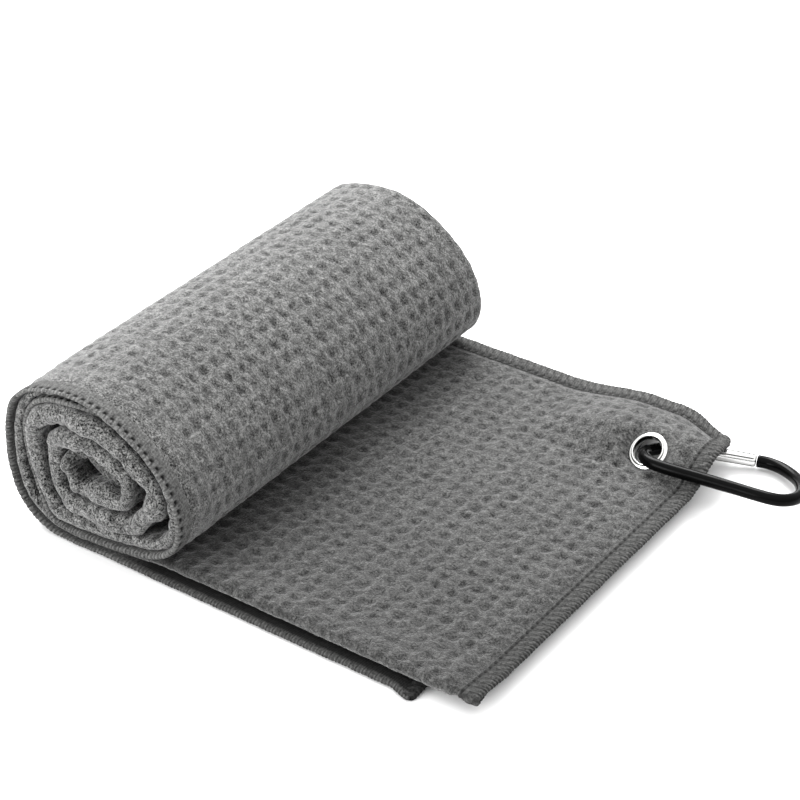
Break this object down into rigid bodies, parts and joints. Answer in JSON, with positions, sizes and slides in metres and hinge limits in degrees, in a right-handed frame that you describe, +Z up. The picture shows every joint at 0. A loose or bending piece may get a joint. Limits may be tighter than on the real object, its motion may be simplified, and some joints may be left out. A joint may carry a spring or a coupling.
{
  "type": "golf towel",
  "caption": "Waffle microfibre golf towel folded in thirds and rolled up, with a corner grommet and a snap carabiner to hang it from a bag.",
  "frame": {"origin": "on the table under the middle of the whole part, roll, tail and carabiner together", "axes": "+X from the roll to the free end, +Y across the strip to the grommet side, +Z up from the table"},
  "size_m": [0.1724, 0.1382, 0.0462],
  "materials": {
    "waffle_cloth": "looped microfibre pile",
    "overlock_hem": "overlocked thread",
    "nickel_grommet": "polished",
    "black_enamel": "gloss",
    "bare_gate": "polished",
    "steel_pin": "plain",
    "steel_spring": "plain"
  },
  "bodies": {
    "towel": {"towel_cloth_tail": "waffle_cloth", "towel_cloth_roll": "waffle_cloth", "hem_bottom_edge": "overlock_hem", "hem_top_edge": "overlock_hem", "hem_free_end": "overlock_hem", "hem_core_end": "overlock_hem", "grommet_eyelet": "nickel_grommet", "grommet_washer": "nickel_grommet"},
    "carabiner": {"carabiner_body": "black_enamel", "gate_hinge_pin": "steel_pin"},
    "gate": {"carabiner_gate": "bare_gate", "gate_spring": "steel_spring"}
  },
  "joints": [
    {"name": "carabiner_swivel", "type": "hinge", "parent": "towel", "child": "carabiner", "pos_m": [0.04097, 0.04519, 0.00619], "axis": [0, 0, 1], "range_deg": [-30, 0]},
    {"name": "gate_hinge", "type": "hinge", "parent": "carabiner", "child": "gate", "pos_m": [0.04666, 0.05582, 0.00368], "axis": [-0.0278, 0.2437, 0.9694], "range_deg": [-24, 0], "stiffness_Nm_per_rad": 0.02, "springref_deg": 5.73}
  ]
}
